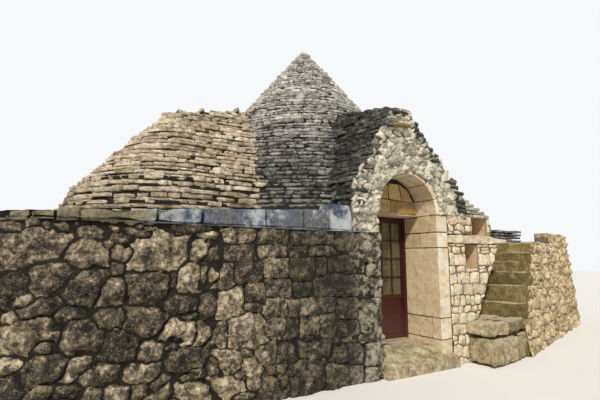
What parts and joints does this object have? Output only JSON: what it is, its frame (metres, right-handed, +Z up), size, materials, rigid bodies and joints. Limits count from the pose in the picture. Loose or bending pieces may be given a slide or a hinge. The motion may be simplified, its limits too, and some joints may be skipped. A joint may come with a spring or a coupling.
{
  "type": "trullo house",
  "caption": "Dry stone house with a corbelled cone roof, a smaller alcove roof, a gabled arched entrance, a glazed two-leaf door and an outside stair to a terrace",
  "frame": {"origin": "on the lowest ground, on the axis of the main cone", "axes": "+Z up, the entrance faces -Y, the stair and terrace lie to +X"},
  "size_m": [12.2293, 6.52, 6.15],
  "materials": {
    "grey_rubble": "dry-laid grey field stones with lichen, deep dark joints",
    "pale_rubble": "pale cream limestone rubble",
    "whitewash": "limestone blocks under thin worn whitewash",
    "roof_slabs": "thin grey limestone roof slabs in courses, lichen on the lower ones",
    "dressed_stone": "smooth warm dressed limestone",
    "tan_rubble": "small warm tan rubble",
    "step_stone": "weathered olive-brown stone with pale worn tops",
    "paving": "worn stone paving",
    "inner_stone": "rough inner walls and corbelled rings",
    "maroon_paint": "dark maroon-brown painted wood",
    "pane": "dull glass with an olive-brown cloth behind",
    "hinge_iron": "dark worn iron"
  },
  "bodies": {
    "house": {"floor": "paving", "porch_paving": "paving", "front_wall": "grey_rubble", "cornice": "whitewash", "back_wall": "grey_rubble", "right_wall": "grey_rubble", "side_walls": "inner_stone", "alcove_walls": "grey_rubble", "alcove_arch": "inner_stone", "corner_corbels": "inner_stone", "left_pier": "dressed_stone", "right_pier": "dressed_stone", "arch_stones": "dressed_stone", "lintel": "dressed_stone", "tympanum": "dressed_stone", "gable_wall": "pale_rubble", "gable_peg": "roof_slabs", "porch_roof": "roof_slabs", "main_cone": "roof_slabs", "capstone": "roof_slabs", "alcove_roof": "roof_slabs", "niche_wall_core": "inner_stone", "niche_wall_foot": "pale_rubble", "niche_jambs": "pale_rubble", "niche_slab": "pale_rubble", "niche_roof_courses": "roof_slabs", "landing_base": "step_stone", "landing_slab": "step_stone", "stair_wall": "tan_rubble", "parapet": "tan_rubble", "terrace_fill": "tan_rubble", "terrace_paving": "paving", "terrace_kerb": "roof_slabs", "door_frame": "maroon_paint", "hinge_pins": "hinge_iron", "step_1": "step_stone", "step_2": "step_stone", "step_3": "step_stone", "step_4": "step_stone", "step_5": "step_stone", "step_6": "step_stone"},
    "right_door": {"right_leaf": "maroon_paint", "right_glass": "pane"},
    "left_door": {"left_leaf": "maroon_paint", "left_glass": "pane"}
  },
  "joints": [
    {"name": "right_door_hinge", "type": "hinge", "parent": "house", "child": "right_door", "pos_m": [0.544, -2.223, 0.345], "axis": [0, 0, -1], "range_deg": [0, 90]},
    {"name": "left_door_hinge", "type": "hinge", "parent": "house", "child": "left_door", "pos_m": [-0.544, -2.223, 0.345], "axis": [0, 0, 1], "range_deg": [0, 90]}
  ]
}
